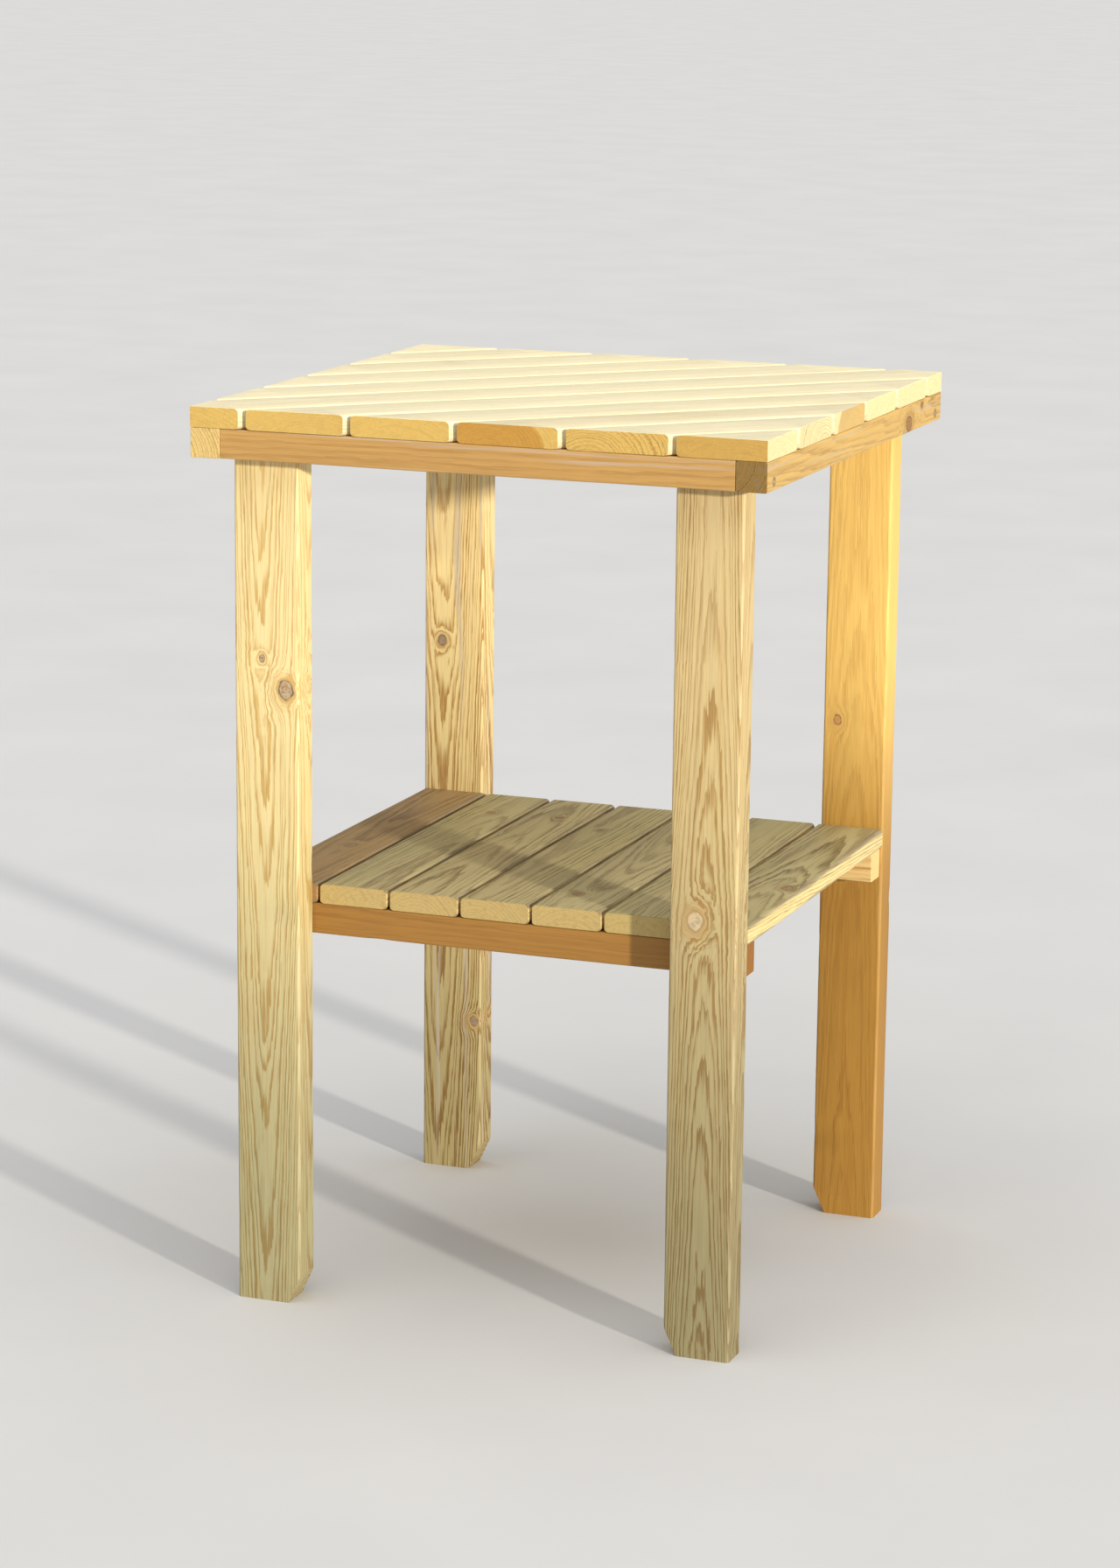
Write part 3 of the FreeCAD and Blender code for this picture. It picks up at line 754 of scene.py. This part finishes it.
def screw_places(node):
    """For each screw of a CAD group: the middle of its head's top, the way it points and its size."""
    mesh = bmesh.new()
    mesh.from_mesh(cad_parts[node].data)
    bmesh.ops.remove_doubles(mesh, verts=mesh.verts, dist=1e-6)
    found = []
    waiting = dict.fromkeys(mesh.verts)
    while waiting:
        edge = [waiting.popitem()[0]]
        one = []
        while edge:
            corner = edge.pop()
            one.append(corner.co.copy())
            for link in corner.link_edges:
                other = link.other_vert(corner)
                if other in waiting:
                    del waiting[other]
                    edge.append(other)
        low = Vector([min(c[i] for c in one) for i in range(3)])
        high = Vector([max(c[i] for c in one) for i in range(3)])
        middle, span = (low + high) / 2, high - low
        axis = max(range(3), key=lambda i: span[i])
        width = min(span)
        rim = [c[axis] for c in one if off_axis(c - middle, axis) > 0.45 * width]
        sign = 1 if sum(rim) / len(rim) < middle[axis] else -1
        aim = Vector((0, 0, 0))
        aim[axis] = sign
        head = middle.copy()
        head[axis] = low[axis] if sign > 0 else high[axis]
        found.append((head, aim, span[axis], width))
    mesh.free()
    return found


screw_tree, given, result = new_tree(
    "wood screws", "GeometryNodeTree",
    {"Places": ("Geometry", None), "Head Width": ("Float", 0.008), "Length": ("Float", 0.04),
     "Recess Depth": ("Float", 0.0013), "Recess Width": ("Float", 0.0009),
     "Material": ("Material", None)},
    {"Mesh": ("Geometry", None)})
tree = screw_tree
head_steps, shank_steps = 32, 16
rim_height = 0.0003
tip_length = 0.004
thread_pitch = 0.0022
thread_margin = 0.001
head_radius = calc(tree, "MULTIPLY", given["Head Width"], 0.5)
shank_radius = calc(tree, "MULTIPLY", head_radius, 0.5)
root_radius = calc(tree, "MULTIPLY", shank_radius, 0.78)
cone_depth = calc(tree, "SUBTRACT", shank_radius, rim_height)
shank_depth = calc(tree, "SUBTRACT", given["Length"], calc(tree, "ADD", cone_depth, tip_length))


def lifted(tree, mesh, z):
    """The mesh moved up by z, away from the head."""
    height = add(tree, "ShaderNodeCombineXYZ", {"Z": z}).outputs[0]
    return add(tree, "GeometryNodeTransform", {"Geometry": mesh, "Translation": height}).outputs[0]


def cone(tree, steps, low_radius, high_radius, depth):
    """A cone that starts at the head's top and narrows away from it."""
    return add(tree, "GeometryNodeMeshCone",
               {"Vertices": steps, "Radius Bottom": low_radius, "Radius Top": high_radius,
                "Depth": depth}).outputs[0]


rim = add(tree, "GeometryNodeMeshCylinder",
          {"Vertices": head_steps, "Radius": head_radius, "Depth": rim_height}).outputs[0]
rim = lifted(tree, rim, rim_height / 2)
neck = lifted(tree, cone(tree, head_steps, head_radius, root_radius, cone_depth), rim_height)
shank = add(tree, "GeometryNodeMeshCylinder",
            {"Vertices": shank_steps, "Radius": root_radius, "Depth": shank_depth}).outputs[0]
shank = lifted(tree, shank, calc(tree, "MULTIPLY_ADD", shank_depth, 0.5, cone_depth))
tip = cone(tree, shank_steps, root_radius, 0.0001, tip_length)
tip = lifted(tree, tip, calc(tree, "ADD", shank_depth, cone_depth))
head = add(tree, "GeometryNodeMeshBoolean", operation="UNION", solver="EXACT")
for part in (rim, neck):
    tree.links.new(part, head.inputs["Mesh 2"])
arm = calc(tree, "MULTIPLY", given["Head Width"], 0.6)
double_depth = calc(tree, "MULTIPLY", given["Recess Depth"], 2.0)
slots = []
for across, along in ((arm, given["Recess Width"]), (given["Recess Width"], arm)):
    size = add(tree, "ShaderNodeCombineXYZ", {"X": across, "Y": along, "Z": double_depth}).outputs[0]
    slots.append(add(tree, "GeometryNodeMeshCube", {"Size": size}).outputs[0])
pit = cone(tree, shank_steps, calc(tree, "MULTIPLY", given["Head Width"], 0.16), 0.0004,
           calc(tree, "MULTIPLY", given["Recess Depth"], 1.25))
slots.append(lifted(tree, pit, -0.0001))
recessed = add(tree, "GeometryNodeMeshBoolean", {"Mesh 1": head.outputs[0]},
               operation="DIFFERENCE", solver="EXACT")
for part in slots:
    tree.links.new(part, recessed.inputs["Mesh 2"])
thread_height = calc(tree, "SUBTRACT", shank_depth, 2 * thread_margin)
spiral = add(tree, "GeometryNodeCurveSpiral",
             {"Resolution": 10, "Rotations": calc(tree, "DIVIDE", thread_height, thread_pitch),
              "Start Radius": root_radius, "End Radius": root_radius,
              "Height": thread_height}).outputs[0]
ridge = add(tree, "GeometryNodeCurvePrimitiveCircle",
            {"Resolution": 3, "Radius": calc(tree, "SUBTRACT", shank_radius, root_radius)}).outputs[0]
thread = add(tree, "GeometryNodeCurveToMesh",
             {"Curve": spiral, "Profile Curve": ridge, "Fill Caps": True}).outputs[0]
thread = lifted(tree, thread, calc(tree, "ADD", cone_depth, thread_margin))
whole = tree.nodes.new("GeometryNodeJoinGeometry")
for part in (recessed.outputs[0], shank, tip, thread):
    tree.links.new(part, whole.inputs[0])
aim = add(tree, "GeometryNodeInputNamedAttribute", {"Name": "aim"}, data_type="FLOAT_VECTOR").outputs[0]
aim = add(tree, "FunctionNodeAlignRotationToVector", {"Vector": aim}, axis="Z").outputs[0]
spin = add(tree, "FunctionNodeRandomValue", {"Min": 0.0, "Max": 6.28, "Seed": 5},
           data_type="FLOAT").outputs[1]
spin = add(tree, "ShaderNodeCombineXYZ", {"Z": spin}).outputs[0]
spin = add(tree, "FunctionNodeRotateRotation", {0: aim, 1: spin}, rotation_space="LOCAL").outputs[0]
screws = add(tree, "GeometryNodeInstanceOnPoints",
             {"Points": given["Places"], "Instance": whole.outputs[0], "Rotation": spin}).outputs[0]
screws = add(tree, "GeometryNodeRealizeInstances", {"Geometry": screws}).outputs[0]
screws = add(tree, "GeometryNodeSetMaterial",
             {"Geometry": screws, "Material": given["Material"]}).outputs[0]
close_tree(tree, result, Mesh=screws)

zinc = bpy.data.materials.new("zinc plate")
zinc.use_nodes = True
tree = zinc.node_tree
surface = tree.nodes["Principled BSDF"]
spot = add(tree, "ShaderNodeTexCoord").outputs["Object"]
spangle = noise(tree, spot, 3.0, 900.0)
bloom = noise(tree, spot, 2.0, 260.0)
plate = blend(tree, spangle, (0.46, 0.36, 0.19, 1), (0.62, 0.50, 0.28, 1))
plate = blend(tree, smooth(tree, bloom, 0.6, 0.75, 0.0, 0.6), plate, (0.34, 0.25, 0.15, 1))
tree.links.new(plate, surface.inputs["Base Color"])
tree.links.new(smooth(tree, bloom, 0.3, 0.75, 0.28, 0.6), surface.inputs["Roughness"])
surface.inputs["Metallic"].default_value = 1.0
bump = add(tree, "ShaderNodeBump", {"Height": spangle, "Strength": 0.4, "Distance": 0.0001})
tree.links.new(bump.outputs[0], surface.inputs["Normal"])

for node in ("top_board_screws", "frame_corner_screws", "leg_screws", "shelf_rail_screws",
             "shelf_board_screws"):
    heads, aims, lengths, widths = zip(*screw_places(node))
    points = bpy.data.meshes.new(node + "_zinc")
    points.from_pydata(heads, [], [])
    marks = points.attributes.new("aim", "FLOAT_VECTOR", "POINT")
    for mark, aim in zip(marks.data, aims):
        mark.vector = aim
    piece = shape(node + "_zinc", points, screw_tree,
                  {"Head_Width": widths[0], "Length": lengths[0], "Material": zinc})
    piece.data.set_sharp_from_angle(angle=math.radians(30))
    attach(piece, "root")
    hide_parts(node)


# ---------------------------------------------------------------- floor and light
# A plain pale floor, a low key light from the front right, a broad one from above and an even
# pale surround.
floor_radius = 80.0
floor = bpy.data.objects.new("floor", bpy.data.meshes.new("floor"))
bpy.context.scene.collection.objects.link(floor)
disc = bmesh.new()
bmesh.ops.create_circle(disc, cap_ends=True, segments=96, radius=floor_radius)
disc.to_mesh(floor.data)
disc.free()
floor_finish = bpy.data.materials.new("floor")
floor_finish.use_nodes = True
tree = floor_finish.node_tree
surface = tree.nodes["Principled BSDF"]
spot = add(tree, "ShaderNodeTexCoord").outputs["Object"]
mottle = blend(tree, noise(tree, spot, 6.0, 3.0), (0.62, 0.62, 0.63, 1), (0.70, 0.70, 0.70, 1))
tree.links.new(mottle, surface.inputs["Base Color"])
surface.inputs["Roughness"].default_value = 0.85
floor.data.materials.append(floor_finish)

lights = {"key": dict(strength=3.7, spread=2.5, turn=57, rise=10, tint=(1.0, 0.94, 0.82)),
          "overhead": dict(strength=2.0, spread=80, turn=20, rise=75, tint=(1.0, 0.99, 0.96))}
for name, look in lights.items():
    light = bpy.data.lights.new(name, "SUN")
    light.energy = look["strength"]
    light.angle = math.radians(look["spread"])
    light.color = look["tint"]
    lamp = bpy.data.objects.new(name, light)
    bpy.context.scene.collection.objects.link(lamp)
    lamp.rotation_euler = (math.radians(90 - look["rise"]), 0, math.radians(look["turn"]))

surround_colour = (0.93, 0.96, 1.0, 1)
surround_strength = 0.3
world = bpy.data.worlds.new("surround")
bpy.context.scene.world = world
world.use_nodes = True
world.node_tree.nodes["Background"].inputs["Color"].default_value = surround_colour
world.node_tree.nodes["Background"].inputs["Strength"].default_value = surround_strength
bpy.context.scene.view_settings.view_transform = "Standard"
